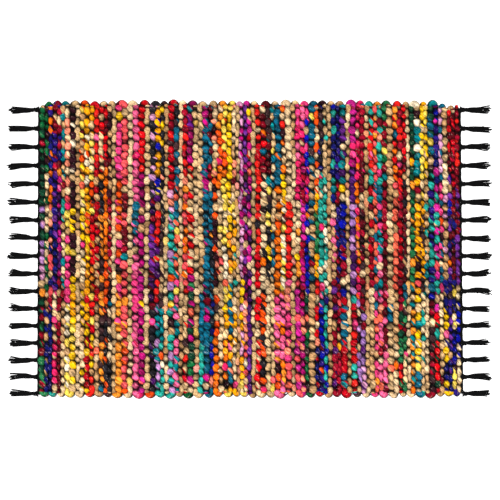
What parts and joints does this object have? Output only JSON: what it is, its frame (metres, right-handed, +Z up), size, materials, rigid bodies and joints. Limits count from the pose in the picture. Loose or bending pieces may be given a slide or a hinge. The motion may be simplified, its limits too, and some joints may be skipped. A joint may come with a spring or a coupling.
{
  "type": "rag rug",
  "caption": "Flat hand-woven rag rug: a beaded multicolour weft of rag and jute, bumpy selvedges, narrow black headings and knotted black tassels at both ends.",
  "frame": {"origin": "centre of the rug's underside, halfway between the tassel tips and between the selvedges", "axes": "+X along the warp, towards the right-hand tassels; +Y across the rug, along the picks, towards the far selvedge; +Z up, out of the rug's face"},
  "size_m": [0.972, 0.6, 0.012],
  "materials": {
    "rag_weft": "matt twisted cotton rags in many dyed colours, with picks of tan jute",
    "black_cotton": "matt black plied cotton yarn"
  },
  "bodies": {
    "root": {"rug_body": "rag_weft", "heading_left": "black_cotton", "heading_right": "black_cotton", "tassel_left_01": "black_cotton", "tassel_left_02": "black_cotton", "tassel_left_03": "black_cotton", "tassel_left_04": "black_cotton", "tassel_left_05": "black_cotton", "tassel_left_06": "black_cotton", "tassel_left_07": "black_cotton", "tassel_left_08": "black_cotton", "tassel_left_09": "black_cotton", "tassel_left_10": "black_cotton", "tassel_left_11": "black_cotton", "tassel_left_12": "black_cotton", "tassel_left_13": "black_cotton", "tassel_left_14": "black_cotton", "tassel_left_15": "black_cotton", "tassel_left_16": "black_cotton", "tassel_left_17": "black_cotton", "tassel_right_01": "black_cotton", "tassel_right_02": "black_cotton", "tassel_right_03": "black_cotton", "tassel_right_04": "black_cotton", "tassel_right_05": "black_cotton", "tassel_right_06": "black_cotton", "tassel_right_07": "black_cotton", "tassel_right_08": "black_cotton", "tassel_right_09": "black_cotton", "tassel_right_10": "black_cotton", "tassel_right_11": "black_cotton", "tassel_right_12": "black_cotton", "tassel_right_13": "black_cotton", "tassel_right_14": "black_cotton", "tassel_right_15": "black_cotton", "tassel_right_16": "black_cotton", "tassel_right_17": "black_cotton"}
  },
  "joints": []
}
